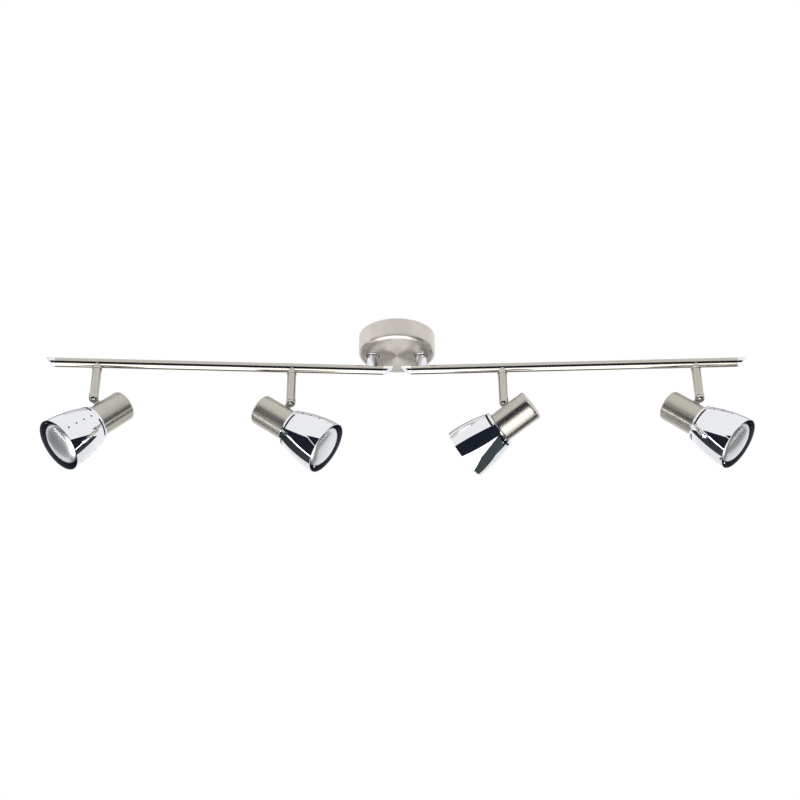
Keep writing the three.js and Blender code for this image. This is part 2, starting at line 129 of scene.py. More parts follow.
class FixtureColours(bpy.types.PropertyGroup):
    """The colours of the fixture's finishes."""

    nickel: colour("Nickel", "#C3BFB6", "Satin nickel plate")
    # The spun nickel is painted lighter than the plain nickel above: a lit copy of the same plate,
    # standing in for the brighter light on the canopy's face, and carried on to the collars and pivot
    # screws.
    spun: colour("Spun nickel", "#E6E1D9", "Satin nickel plate of the canopy, painted lighter for its brighter light")
    chrome: colour("Chrome", "#E9EAEE", "Polished chrome plate")
    zinc: colour("Zinc", "#B9BBBB", "Bright zinc plate")
    green: colour("Earth green", "#2E7A45", "Dyed zinc of the earth screw")
    glass: colour("Lamp glass", "#DDE0E1", "Silvered, frosted lamp glass")
    shell: colour("Lamp shell", "#D0CEC6", "Rolled lamp screw shell")
    phenolic: colour("Socket", "#1C1D1F", "Moulded phenolic socket body")
    # The shade's inside is the same chrome as its outside, painted darker: painted shade for the dark
    # that it mirrors.
    inside: colour("Shade inside", "#666D78", "Chrome inside the shades, painted darker for shade")
    nylon: colour("Nylon", "#E6E3DB", "Moulded terminal block")
    silicone: colour("Wire", "#1B1C1F", "Wire jacket")


# Shapes ------------------------------------------------------------------------------------


def eased(points, radius, steps=5):
    """An outline with each inner corner eased: a quadratic curve that leaves the outline one
    radius before the corner and rejoins it one radius after. radius is one value or a list."""
    points = np.array(points, float)
    radius = np.broadcast_to(radius, len(points))
    t = np.linspace(0, 1, steps)[:, None]
    out = [points[:1]]
    for before, corner, after, ease in zip(points, points[1:], points[2:], radius[1:]):
        to, on = before - corner, after - corner
        far = 0.45 * min(np.linalg.norm(to), np.linalg.norm(on))
        ease = min(ease, far)
        start = corner + to / np.linalg.norm(to) * ease
        end = corner + on / np.linalg.norm(on) * ease
        out.append((1 - t) ** 2 * start + 2 * t * (1 - t) * corner + t**2 * end)
    out.append(points[-1:])
    return np.vstack(out)


def cubic(a, b, c, d, steps):
    """Points of a cubic curve through its four control points."""
    a, b, c, d = (np.array(p, float) for p in (a, b, c, d))
    t = np.linspace(0, 1, steps)[:, None]
    return (1 - t) ** 3 * a + 3 * t * (1 - t) ** 2 * b + 3 * t**2 * (1 - t) * c + t**3 * d


def round_turn(sides):
    """The turns of a circle's points."""
    return np.linspace(0, 2 * np.pi, sides, endpoint=False)


def lathed(outline, sides):
    """Rings of an outline of (radius, height) turned about Z: each point of the outline becomes
    a circle of that radius at that height."""
    outline = np.asarray(outline, float)
    turn = round_turn(sides)
    radius, height = outline[:, :1], outline[:, 1:]
    return np.stack(
        [radius * np.cos(turn), radius * np.sin(turn), height + 0 * turn], axis=-1
    )


def column(x, y, height):
    """Rings of a column: the same outline at each row of heights."""
    return np.stack([np.broadcast_to(x, height.shape), np.broadcast_to(y, height.shape), height],
                    axis=-1)


def capped(rings):
    """The rings drawn in to a point at both ends, which closes them."""
    ends = [np.broadcast_to(rings[i].mean(axis=0), rings[i].shape)[None] for i in (0, -1)]
    return np.concatenate([ends[0], rings, ends[1]])


def moved(points, origin, axes):
    """Points in a piece's own frame taken to the fixture's: the origin plus each of the three
    axes times its coordinate."""
    return np.asarray(origin) + np.asarray(points) @ np.asarray(axes)


def skin(name, rings):
    """A closed mesh over rings of points: each ring is joined to the next by quads, and each
    quad carries its distance round and along the surface as UV, in metres."""
    count, sides = rings.shape[:2]
    ring, side = np.meshgrid(np.arange(count - 1), np.arange(sides), indexing="ij")
    after = (side + 1) % sides
    quads = np.stack(
        [ring * sides + side, ring * sides + after, (ring + 1) * sides + after,
         (ring + 1) * sides + side], axis=-1
    ).reshape(-1, 4)
    steps = np.linalg.norm(np.diff(rings, axis=0), axis=2).mean(axis=1)
    along = np.concatenate([[0], np.cumsum(steps)])
    closing = np.concatenate([rings, rings[:, :1]], axis=1)
    girth = np.linalg.norm(np.diff(closing, axis=1), axis=2).sum(axis=1).max()
    u = np.stack([side, side + 1, side + 1, side], axis=-1) / sides * girth
    v = along[np.stack([ring, ring, ring + 1, ring + 1], axis=-1)]
    mesh = bpy.data.meshes.new(name)
    mesh.from_pydata(rings.reshape(-1, 3).tolist(), [], quads.tolist())
    layer = mesh.uv_layers.new(name="surface")
    layer.data.foreach_set("uv", np.stack([u, v], axis=-1).astype(np.float32).ravel())
    return solid(name, mesh)


def solid(name, mesh):
    """The mesh as an object, welded at its seams and poles, with its faces pointing out."""
    work = bmesh.new()
    work.from_mesh(mesh)
    bmesh.ops.remove_doubles(work, verts=work.verts, dist=1e-7)
    bmesh.ops.dissolve_degenerate(work, edges=work.edges, dist=1e-7)
    bmesh.ops.recalc_face_normals(work, faces=work.faces)
    if work.calc_volume(signed=True) < 0:
        bmesh.ops.reverse_faces(work, faces=work.faces)
    work.to_mesh(mesh)
    work.free()
    piece = bpy.data.objects.new(name, mesh)
    bpy.context.scene.collection.objects.link(piece)
    return piece


def joined(name, meshes):
    """Several closed skins as one cutting object."""
    work = bmesh.new()
    for piece in meshes:
        work.from_mesh(piece.data)
        bpy.data.objects.remove(piece)
    mesh = bpy.data.meshes.new(name)
    work.to_mesh(mesh)
    work.free()
    tool = bpy.data.objects.new(name, mesh)
    bpy.context.scene.collection.objects.link(tool)
    return tool


def combined(piece, tool, operation):
    """The piece less the tool, or joined to it. The tool is then removed."""
    modifier = piece.modifiers.new("combined", "BOOLEAN")
    modifier.operation = operation
    modifier.solver = "EXACT"
    modifier.object = tool
    bpy.context.view_layer.update()
    graph = bpy.context.evaluated_depsgraph_get()
    result = bpy.data.meshes.new_from_object(piece.evaluated_get(graph))
    piece.modifiers.clear()
    piece.data = result
    bpy.data.objects.remove(tool)
    return piece


def cut(piece, tools):
    """The piece less its cutting tools."""
    return combined(piece, joined("cutter", tools), "DIFFERENCE")


def done(piece, body, slot, material, *nodes):
    """Shades the piece smooth up to its edges, gives it its finish, and hands it to its body in
    place of its plain CAD nodes."""
    mesh = piece.data
    mesh.shade_smooth()
    mesh.set_sharp_from_angle(angle=np.radians(35))
    mesh.materials.clear()
    mesh.materials.append(material)
    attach(piece, body)
    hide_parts(*nodes)
    return piece


def rod(name, radius, start, end, axes, origin, sides=32):
    """A plain round bar along the third axis, closed at both ends."""
    outline = [[0, start], [radius, start], [radius, end], [0, end]]
    return skin(name, moved(lathed(outline, sides), origin, axes))


def brick(name, low, high, origin, axes):
    """A plain box: a ring of four corners at each end, closed by its middle."""
    low, high = np.array(low), np.array(high)
    x = np.array([low[0], high[0], high[0], low[0]])
    y = np.array([low[1], low[1], high[1], high[1]])
    middle = (low + high) / 2
    rings = [
        np.stack([0 * x + middle[0], 0 * y + middle[1], 0 * x + low[2]], axis=-1),
        np.stack([x, y, 0 * x + low[2]], axis=-1),
        np.stack([x, y, 0 * x + high[2]], axis=-1),
        np.stack([0 * x + middle[0], 0 * y + middle[1], 0 * x + high[2]], axis=-1),
    ]
    return skin(name, moved(np.array(rings), origin, axes))


# Places, worked out from the joints ------------------------------------------------------------


def bar_place(side):
    """The bar's origin, on its axis under its post, and its axes: out along the bar, level
    across it, and up."""
    origin = np.array(JOINTS[f"{side}_bar_swivel"]["pos_m"])
    number = 1 if side == "left" else 4
    along = np.array(JOINTS[f"stem_{number}_swivel"]["pos_m"]) - origin
    along[2] = 0
    along /= np.linalg.norm(along)
    up = np.array([0, 0, 1.0])
    return origin, np.array([along, np.cross(up, along), up])


def stem_place(number):
    """The point on the bar's axis over a stem, the pivot below it, and the arm's axes: the way
    its head faces, level across that, and up."""
    pivot = np.array(JOINTS[f"head_{number}_tilt"]["pos_m"])
    across = np.array(JOINTS[f"head_{number}_tilt"]["axis"])
    bar = np.array(JOINTS[f"{BAR_OF_HEAD[number]}_bar_swivel"]["pos_m"])
    up = np.array([0, 0, 1.0])
    top = np.array([pivot[0], pivot[1], bar[2]])
    return top, pivot, np.array([np.cross(across, up), -across, up])


def head_place(number):
    """The pivot and a head's axes: from the lamp's axis to the pivot, along the pivot, and out
    of the mouth. A head is level at the top of its tilt, so that limit is its dip at rest."""
    joint = JOINTS[f"head_{number}_tilt"]
    pivot = np.array(joint["pos_m"])
    across = np.array(joint["axis"])
    level = np.array([-across[1], across[0], 0])
    dip = np.radians(joint["range_deg"][1])
    up = np.array([0, 0, 1.0])
    ahead = np.cos(dip) * level - np.sin(dip) * up
    upright = np.sin(dip) * level + np.cos(dip) * up
    return pivot, np.array([upright, across, ahead])


# Finishes ----------------------------------------------------------------------------------


def add_node(tree, kind, links=None, **settings):
    """Adds a node. Settings that name a socket set its value, and the others set the node's own;
    links maps a socket to the output that feeds it."""
    node = tree.nodes.new(kind)
    for key, value in settings.items():
        if hasattr(node, key):
            setattr(node, key, value)
        else:
            node.inputs[key.replace("_", " ")].default_value = value
    for key, output in (links or {}).items():
        tree.links.new(output, node.inputs[key])
    return node


def blank(name):
    """A new material with an empty node tree and its output node."""
    material = bpy.data.materials.new(name)
    material.use_nodes = True
    tree = material.node_tree
    tree.nodes.clear()
    return material, tree, tree.nodes.new("ShaderNodeOutputMaterial")


def noise_over(tree, scale, detail):
    """Noise over the piece, in patches per metre."""
    at = add_node(tree, "ShaderNodeTexCoord")
    noise = add_node(tree, "ShaderNodeTexNoise", {"Vector": at.outputs["Object"]},
                     Scale=scale, Detail=detail)
    return noise.outputs["Fac"]


def ranged(tree, value, low, high, top=0.7):
    """Noise between 0.3 and the top, spread over another range."""
    node = add_node(tree, "ShaderNodeMapRange", {"Value": value},
                    From_Min=0.3, From_Max=top, To_Min=low, To_Max=high)
    return node.outputs["Result"]


def between(tree, share, first, second):
    """A colour between two, by a share that a node gives."""
    node = add_node(tree, "ShaderNodeMix", {"Factor": share}, data_type="RGBA")
    node.inputs[6].default_value = (*first, 1)
    node.inputs[7].default_value = (*second, 1)
    return node.outputs[2]


def raised(tree, height, strength, depth):
    """The surface's normal, lifted by a height that a node gives."""
    node = add_node(tree, "ShaderNodeBump", {"Height": height}, Strength=strength, Distance=depth)
    return node.outputs["Normal"]


def surfaced(material, tree, output, links, **settings):
    """The material, finished with a principled shader."""
    shader = add_node(tree, "ShaderNodeBsdfPrincipled", links, **settings)
    tree.links.new(shader.outputs["BSDF"], output.inputs["Surface"])
    return material


def brushed_plate(name, base, roughness, spread, strength):
    """A plate brushed round its piece: fine scratches lie round it, a few tenths of a millimetre
    apart along it, so the gloss spreads across them and keeps its edges round the piece."""
    material, tree, output = blank(name)
    uv = add_node(tree, "ShaderNodeUVMap", uv_map="surface")
    stretch = add_node(
        tree, "ShaderNodeMapping", {"Vector": uv.outputs["UV"]}, vector_type="POINT",
        Scale=(14, 2400, 1),
    )
    lines = add_node(
        tree, "ShaderNodeTexNoise", {"Vector": stretch.outputs["Vector"]}, noise_dimensions="2D",
        Scale=1, Detail=4, Roughness=0.65,
    )
    rough = ranged(tree, noise_over(tree, 35, 2), roughness - spread, roughness + spread)
    tone = ranged(tree, lines.outputs["Fac"], 0, 1)
    along = add_node(tree, "ShaderNodeTangent", direction_type="UV_MAP", uv_map="surface")
    return surfaced(
        material, tree, output,
        {"Base Color": between(tree, tone, [0.9 * c for c in base], base), "Roughness": rough,
         "Normal": raised(tree, lines.outputs["Fac"], strength, 0.00004),
         "Tangent": along.outputs["Tangent"]},
        Metallic=1.0, Anisotropic=0.75, Anisotropic_Rotation=0.25,
    )


def satin_nickel_tube(base):
    """Nickel plate over ground tube, brushed round it: crisp bands of light run along the tube,
    softened a little by the brushing."""
    return brushed_plate("satin nickel, ground tube", base, 0.16, 0.03, 0.05)


def spun_nickel_painted_lighter(base):
    """Nickel plate over a spun piece, brushed round its axis: the scratches are rings, so a soft
    light draws a fan on a flat face and stays even on a side. Its base colour is painted lighter than
    the plain nickel: a lit copy that stands in for the brighter light on the canopy's face."""
    return brushed_plate("satin nickel, spun, painted lighter", base, 0.4, 0.04, 0.15)


def satin_nickel_cup(base):
    """Nickel plate over a deep-drawn cup, brushed round it: broad bands of light run along the
    cup, soft at their edges."""
    return brushed_plate("satin nickel, deep drawn", base, 0.29, 0.03, 0.06)


def polished_chrome(base):
    """Bright chrome on polished steel: a mirror with a slight blue cast and the faint orange
    peel of the buffing, which only loosens the edges of what it mirrors."""
    material, tree, output = blank("polished chrome")
    return surfaced(
        material, tree, output,
        {"Roughness": ranged(tree, noise_over(tree, 600, 3), 0.02, 0.05, 0.8),
         "Normal": raised(tree, noise_over(tree, 90, 1), 0.15, 0.00002)},
        Base_Color=(*base, 1), Metallic=1.0,
    )


def plain_finish(name, base, roughness, metallic, grain, depth, vary=0.08):
    """A cast, moulded, plated or glazed surface: a fine grain, in patches per metre, that lifts
    the surface a little and shifts its colour and gloss."""
    material, tree, output = blank(name)
    noise = noise_over(tree, grain, 3)
    return surfaced(
        material, tree, output,
        {"Base Color": between(tree, noise, [(1 - vary) * c for c in base], base),
         "Roughness": ranged(tree, noise, 0.85 * roughness, 1.15 * roughness),
         "Normal": raised(tree, noise, 0.3, depth)},
        Metallic=metallic,
    )


def lamp_glass(base):
    """Blown glass, silvered inside and frosted on its crown: a pearly grey that turns a soft
    light into a broad glow, under the sharp small gloss of the glass."""
    material, tree, output = blank("frosted silvered glass")
    return surfaced(
        material, tree, output,
        {"Roughness": ranged(tree, noise_over(tree, 25, 2), 0.28, 0.34),
         "Normal": raised(tree, noise_over(tree, 900, 3), 0.04, 0.00002)},
        Base_Color=(*base, 1), Metallic=0.8, Coat_Weight=0.6, Coat_Roughness=0.04,
    )


def finishes():
    """All the finishes, made once and kept by name."""
    colours = bpy.context.scene.fixture_colours
    makers = {
        "satin nickel, ground tube": lambda: satin_nickel_tube(colours.nickel),
        "satin nickel, spun, painted lighter": lambda: spun_nickel_painted_lighter(colours.spun),
        "polished chrome": lambda: polished_chrome(colours.chrome),
        "bright zinc plate": lambda: plain_finish(
            "bright zinc plate", colours.zinc, 0.32, 1.0, 220, 0.00003),
        "green dyed zinc": lambda: plain_finish(
            "green dyed zinc", colours.green, 0.4, 0.6, 300, 0.00003),
        "frosted silvered glass": lambda: lamp_glass(colours.glass),
        "rolled lamp shell": lambda: plain_finish(
            "rolled lamp shell", colours.shell, 0.3, 1.0, 400, 0.00002),
        "moulded phenolic": lambda: plain_finish(
            "moulded phenolic", colours.phenolic, 0.35, 0.0, 500, 0.00003, 0.1),
        "chrome darkened by painted shade": lambda: plain_finish(
            "chrome darkened by painted shade", colours.inside, 0.32, 0.75, 150, 0.00003, 0.1),
        "satin nickel, deep drawn": lambda: satin_nickel_cup(colours.nickel),
        "moulded nylon": lambda: plain_finish(
            "moulded nylon", colours.nylon, 0.5, 0.0, 900, 0.00003, 0.03),
        "silicone wire jacket": lambda: plain_finish(
            "silicone wire jacket", colours.silicone, 0.55, 0.0, 500, 0.00003, 0.2),
    }
    return {
        name: bpy.data.materials.get(name) or make() for name, make in makers.items()
    }


# Pieces --------------------------------------------------------------------------------------


class FIXTURE_OT_canopy(bpy.types.Operator):
    """Make the spun canopy, its post flanges and what shows inside it"""

    bl_idname = "fixture.canopy"
    bl_label = "Canopy"

    def execute(self, context):
        sizes = context.scene.fixture_sizes
        finish = finishes()
        low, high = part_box("canopy_shell")
        radius, depth = high.x, -low.z
        inner = radius - sizes.canopy_wall
        ease = sizes.canopy_fillet
        outline = eased(
            [[0, -depth], [radius, -depth], [radius, 0], [inner, 0],
             [inner, sizes.canopy_wall - depth], [0, sizes.canopy_wall - depth]],
            [0, 1.3 * ease, 0.0002, 0.0002, ease - sizes.canopy_wall, 0], 9,
        )
        outline = spaced(outline, 0.004)
        level = np.eye(3)
        shell = skin("spun_canopy", lathed(outline, 160))
        across = np.array([[0, 1, 0], [0, 0, 1], [1, 0, 0]], float)
        tools = [
            rod("hole", sizes.post_hole, -depth - 0.002, 0.004 - depth, level,
                [JOINTS[f"{side}_bar_swivel"]["pos_m"][0], 0, 0])
            for side in SIDES
        ]
        tools.append(
            rod("hole", sizes.screw_hole, -radius - 0.002, radius + 0.002, across,
                [0, 0, -sizes.screw_drop])
        )
        done(cut(shell, tools), "canopy", "satin_nickel", finish["satin nickel, spun, painted lighter"],
             "canopy_shell")
        for side in SIDES:
            node = f"post_flange_{side}"
            low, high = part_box(node)
            middle = (low + high) / 2
            rim = (high.x - low.x) / 2
            flange = eased(
                [[sizes.post_hole, high.z], [rim, high.z], [rim, low.z], [sizes.post_hole, low.z],
                 [sizes.post_hole, high.z]],
                [0, 0.0002, 0.0009, 0.0002, 0],
            )
            piece = skin(f"{side}_flange", moved(lathed(flange, 96), [middle.x, middle.y, 0], level))
            done(piece, "canopy", "polished_chrome", finish["polished chrome"], node)
        plain = {
            "mounting_bracket": "bright zinc plate",
            "ground_screw": "green dyed zinc",
            "terminal_block": "moulded nylon",
            "canopy_screw_left": "bright zinc plate",
            "canopy_screw_right": "bright zinc plate",
        }
        for node, name in plain.items():
            paint_node(node, finish[name])
        return {"FINISHED"}


def spaced(outline, step):
    """The outline with its long straight stretches divided, so that no stretch is longer than
    the step."""
    outline = np.asarray(outline, float)
    out = [outline[:1]]
    for start, end in zip(outline, outline[1:]):
        parts = max(1, int(np.ceil(np.linalg.norm(end - start) / step)))
        t = np.linspace(0, 1, parts + 1)[1:, None]
        out.append(start + (end - start) * t)
    return np.vstack(out)


def paint_node(node, material):
    """Gives a carried-over CAD node its finish."""
    mesh = frame["nodes"][node].data
    mesh.materials.clear()
    mesh.materials.append(material)


class FIXTURE_OT_leads(bpy.types.Operator):
    """Make the supply leads that drop into the posts"""

    bl_idname = "fixture.leads"
    bl_label = "Supply leads"

    def execute(self, context):
        finish = finishes()
        for side in SIDES:
            node = f"supply_lead_{side}"
            low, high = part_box(node)
            radius = (high.y - low.y) / 2
            sign = -1 if side == "left" else 1
            inner = high.x if sign < 0 else low.x
            outer = low.x + radius if sign < 0 else high.x - radius
            level = high.z - radius
            path = cubic([inner, level], [outer - sign * 0.004, level], [outer, level - 0.003],
                         [outer, low.z], 40)
            piece = skin(f"{side}_lead", swept(path, radius, 24))
            done(piece, "canopy", "wire_jacket", finish["silicone wire jacket"], node)
            paint_node(f"{side}_bar_wires", finish["silicone wire jacket"])
        return {"FINISHED"}


def swept(path, radius, sides):
    """Rings round a path in the XZ plane: at each point, a circle that stands square to the
    path, drawn in to a point at both ends to close them."""
    tangent = np.gradient(path, axis=0)
    tangent /= np.linalg.norm(tangent, axis=1, keepdims=True)
    side = np.stack([-tangent[:, 1], tangent[:, 0]], axis=1)
    turn = round_turn(sides)
    reach = radius * np.cos(turn)[None, :, None] * side[:, None, :]
    rings = np.stack(
        [path[:, None, 0] + reach[..., 0], np.broadcast_to(radius * np.sin(turn), reach.shape[:2]),
         path[:, None, 1] + reach[..., 1]], axis=-1
    )
    return capped(rings)


class FIXTURE_OT_bars(bpy.types.Operator):
    """Make the bar tubes, their mitred caps and their posts"""

    bl_idname = "fixture.bars"
    bl_label = "Bars"

    def execute(self, context):
        sizes = context.scene.fixture_sizes
        finish = finishes()
        for side in SIDES:
            origin, (along, across, up) = bar_place(side)
            lengthwise = np.array([across, up, along])
            ends = {end: tip_reach(side, end, origin, along) for end in ("outer", "inner")}
            outer = ends["outer"] - sizes.cap_length - sizes.gap
            inner = ends["inner"] + sizes.cap_length + sizes.gap
            bore = sizes.bar_radius - sizes.bar_wall
            outline = eased(
                [[bore, inner], [sizes.bar_radius, inner], [sizes.bar_radius, outer],
                 [bore, outer], [bore, inner]],
                [0, 0.0002, 0.0002, 0.0002, 0],
            )
            tube = skin(f"{side}_tube", moved(lathed(outline, 96), origin, lengthwise))
            done(tube, f"{side}_bar", "satin_nickel", finish["satin nickel, ground tube"],
                 f"{side}_bar_tube")
            for end, tip in ends.items():
                out = np.sign(tip)
                axes = np.array([across, up, along * out])
                joint = abs(tip) - sizes.cap_length
                cap = skin(f"{side}_{end}_mitre", moved(mitred_cap(sizes, joint), origin, axes))
                done(cap, f"{side}_bar", "polished_chrome", finish["polished chrome"],
                     f"{side}_{end}_cap")
            post = skin(f"{side}_stub", moved(post_rings(sizes, side), origin, [along, across, up]))
            done(post, f"{side}_bar", "polished_chrome", finish["polished chrome"],
                 f"{side}_post")
            paint_node(f"{side}_post_nut", finish["bright zinc plate"])
        return {"FINISHED"}


def cad_points(node):
    """The points of a CAD node."""
    mesh = frame["nodes"][node].data
    points = np.empty(len(mesh.vertices) * 3, np.float32)
    mesh.vertices.foreach_get("co", points)
    return points.reshape(-1, 3)


def tip_reach(side, end, origin, along):
    """Distance from the post to a cap's tip along the bar, from the cap's own points."""
    reach = (cad_points(f"{side}_{end}_cap") - origin) @ along
    return float(reach.max() if end == "outer" else reach.min())


def mitred_cap(sizes, joint):
    """Rings of a bar cap: a circle at the joint, then circles whose distance grows with their
    height, so the last is the edge of a 45-degree face, and the face drawn in to its middle."""
    radius, sides = sizes.bar_radius, 96
    turn = round_turn(sides)
    edge = 0.0003
    tip = joint + sizes.cap_length

    def ring(share, reach):
        """A circle of that share of the radius, at one distance along the bar or at the mitre."""
        x, y = share * radius * np.cos(turn), share * radius * np.sin(turn)
        z = tip - radius + y if reach is None else np.full(sides, reach)
        return np.stack([x, y, z], axis=-1)

    mitre = ring(1, None)
    start = ring(1, joint + edge)
    t = np.linspace(0, 1, 24)[:, None, None]
    wall = start + (mitre - [0, 0, edge] - start) * t
    face = [ring(share, None) for share in np.linspace(1 - edge / radius, 0, 12)]
    rings = [ring(0, joint), ring(1 - edge / radius, joint), *wall, *face]
    return np.array(rings)


def post_rings(sizes, side):
    """Rings of a post, top to bottom: a round column whose lower edge follows the bar, at the
    height where a circle of the bar's radius meets each point's distance across the bar."""
    sides = 96
    turn = round_turn(sides)
    radius, clear = sizes.post_radius, sizes.bar_radius + sizes.gap
    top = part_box(f"post_flange_{side}")[0].z - sizes.gap - JOINTS[f"{side}_bar_swivel"]["pos_m"][2]
    y = radius * np.sin(turn)
    bottom = np.sqrt(np.maximum(clear**2 - y**2, (sizes.bar_radius / 3) ** 2))
    t = np.linspace(0, 1, 16)[:, None]
    shaft = column(radius * np.cos(turn), y, top + (bottom - top) * t)
    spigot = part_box(f"{side}_post")[1].z - JOINTS[f"{side}_bar_swivel"]["pos_m"][2]
    bore, wall = 0.003, 0.0049
    neck = lathed([[bore, top], [bore, spigot], [wall, spigot], [wall, top], [radius, top]], sides)
    under = shaft[-1:] * [0.4, 0.4, 1]
    inside = lathed([[bore, top]], sides)
    return np.concatenate([neck, shaft, under, inside])


class FIXTURE_OT_arms(bpy.types.Operator):
    """Make the collars, forked stems and pivot screws"""

    bl_idname = "fixture.arms"
    bl_label = "Arms"

    def execute(self, context):
        sizes = context.scene.fixture_sizes
        finish = finishes()
        for number in HEADS:
            top, pivot, arm = stem_place(number)
            side = BAR_OF_HEAD[number]
            _, bar = bar_place(side)
            collar = skin(f"collar_{number}", moved(collar_rings(sizes), top, bar))
            done(collar, f"{side}_bar", "satin_nickel", finish["satin nickel, spun, painted lighter"],
                 f"stem_collar_{number}")
            stem = forked_stem(sizes, number, top, pivot, arm)
            done(stem, f"arm_{number}", "satin_nickel", finish["satin nickel, ground tube"],
                 f"stem_{number}")
            screw = pan_screw(sizes, number, pivot, arm)
            done(screw, f"arm_{number}", "satin_nickel", finish["satin nickel, spun, painted lighter"],
                 f"pivot_screw_{number}")
        return {"FINISHED"}


def collar_rings(sizes):
    """Rings of a collar: a round column under the bar whose upper edge follows the bar's
    surface, with a small rounded lip at its foot."""
    sides = 96
    turn = round_turn(sides)
    radius, clear = sizes.collar_radius, sizes.bar_radius + sizes.gap
    bottom = -sizes.bar_radius - sizes.collar_drop
    lip = radius + sizes.collar_lip
    y = radius * np.sin(turn)
    saddle = -np.sqrt(np.maximum(clear**2 - y**2, 0))
    foot = eased([[0, bottom], [lip, bottom], [lip, bottom + 0.0012], [radius, bottom + 0.0014]],
                 [0, 0.0004, 0.0004, 0])
    start = foot[-1, 1]
    t = np.linspace(0, 1, 14)[1:, None]
    shaft = column(radius * np.cos(turn), y, start + (saddle - start) * t)
    share = np.linspace(1, 0, 10)[1:, None]
    inward = share * y
    roof = np.stack(
        [share * radius * np.cos(turn), inward, -np.sqrt(np.maximum(clear**2 - inward**2, 0))],
        axis=-1,
    )
    return np.concatenate([lathed(foot, sides), shaft, roof])


def forked_stem(sizes, number, top, pivot, arm):
    """A stem: a round rod under its collar, with a round end about the pivot, slotted for the
    lug and bored for the pivot screw."""
    high = top[2] - sizes.bar_radius - sizes.collar_drop - sizes.gap - pivot[2]
    radius = sizes.stem_radius
    dome = np.linspace(0, -np.pi / 2, 20)
    outline = np.vstack([
        eased([[0, high], [radius, high], [radius, 0.0]], [0, 0.0003, 0])[:-1],
        np.stack([radius * np.cos(dome), radius * np.sin(dome)], axis=-1),
    ])
    rod_piece = skin(f"forked_stem_{number}", moved(lathed(spaced(outline, 0.003), 96), pivot, arm))
    slot, reach = sizes.fork_slot / 2, 2 * radius
    fork = brick("fork", [-reach, -slot, -reach], [reach, slot, 0.0056], pivot, arm)
    level = np.array([arm[2], arm[0], -arm[1]])
    seat = radius - 0.0018
    bore = rod("bore", 0.0021, 0.0019 - radius, seat + 0.0001, level, pivot, 24)
    counterbore = rod("counterbore", 0.0031, seat, reach, level, pivot, 32)
    return cut(cut(rod_piece, [fork]), [combined(bore, counterbore, "UNION")])


def pan_screw(sizes, number, pivot, arm):
    """A pivot screw: a plain shank and a domed head with a straight driver slot."""
    crown = sizes.stem_radius - 0.0002
    seat, end = crown - 0.0013, 0.0022 - sizes.stem_radius
    outline = eased(
        [[0, end], [0.0018, end], [0.0018, seat], [0.0028, seat], [0.0028, crown - 0.0006],
         [0.0018, crown], [0, crown]],
        [0, 0.0003, 0.0001, 0.0002, 0.0005, 0.0005, 0],
    )
    level = np.array([arm[2], arm[0], -arm[1]])
    screw = skin(f"pan_screw_{number}", moved(lathed(outline, 64), pivot, level))
    slot = brick("driver", [-0.004, -0.0004, crown - 0.0006], [0.004, 0.0004, crown + 0.001],
                 pivot, level)
    return cut(screw, [slot])


class FIXTURE_OT_heads(bpy.types.Operator):
    """Make each head's lug, cup, shade, socket and lamp"""

    bl_idname = "fixture.heads"
    bl_label = "Heads"

    def execute(self, context):
        sizes = context.scene.fixture_sizes
        finish = finishes()
        for number in HEADS:
            pivot, axes = head_place(number)
            centre = pivot - axes[0] * sizes.head_offset
            body = f"head_{number}"
            done(lug_plate(sizes, number, pivot, axes), body, "zinc_steel",
                 finish["bright zinc plate"], f"lug_{number}")
            done(spun_cup(sizes, number, pivot, centre, axes), body, "satin_nickel",
                 finish["satin nickel, deep drawn"], f"cup_{number}")
            shade = bell_shade(sizes, number, centre, axes)
            done(shade, body, "polished_chrome", finish["polished chrome"], f"shade_{number}")
            # The shade's inside faces get a darker copy of its chrome: painted shade.
            paint_shade_inside_darker(shade, centre, axes, finish["chrome darkened by painted shade"])
            done(skin(f"lamp_socket_{number}", moved(socket_rings(sizes), centre, axes)), body,
                 "socket_body", finish["moulded phenolic"], f"socket_{number}")
            done(skin(f"bulb_{number}", moved(bulb_rings(sizes), centre, axes)), body,
                 "lamp_glass", finish["frosted silvered glass"], f"lamp_glass_{number}")
            done(skin(f"screw_shell_{number}", moved(shell_rings(sizes), centre, axes)), body,
                 "lamp_cap", finish["rolled lamp shell"], f"lamp_base_{number}")
        return {"FINISHED"}


def lug_plate(sizes, number, pivot, axes):
    """A flat lug: a half circle about the pivot drawn straight down into the cup, as thick as
    its slot less two clearances, with eased edges."""
    radius = sizes.lug_radius
    foot = sizes.cup_radius - sizes.head_offset - sizes.cup_wall - 0.0015
    round_end = np.linspace(np.pi / 2, -np.pi / 2, 33)
    outline = np.vstack([
        [[foot, radius]],
        np.stack([radius * np.cos(round_end), radius * np.sin(round_end)], axis=-1),
        [[foot, -radius]],
    ])
    outline = spaced(outline, 0.002)
    half, edge = (sizes.fork_slot - 2 * sizes.gap) / 2, 0.0003
    middle = outline.mean(axis=0)
    levels = [(0, -half), (1 - edge / radius, -half), (1, edge - half), (1, half - edge),
              (1 - edge / radius, half), (0, half)]
    rings = [
        np.stack([middle[0] + share * (outline[:, 0] - middle[0]), 0 * outline[:, 0] + height,
                  middle[1] + share * (outline[:, 1] - middle[1])], axis=-1)
        for share, height in levels
    ]
    return skin(f"lug_plate_{number}", moved(np.array(rings), pivot, axes))


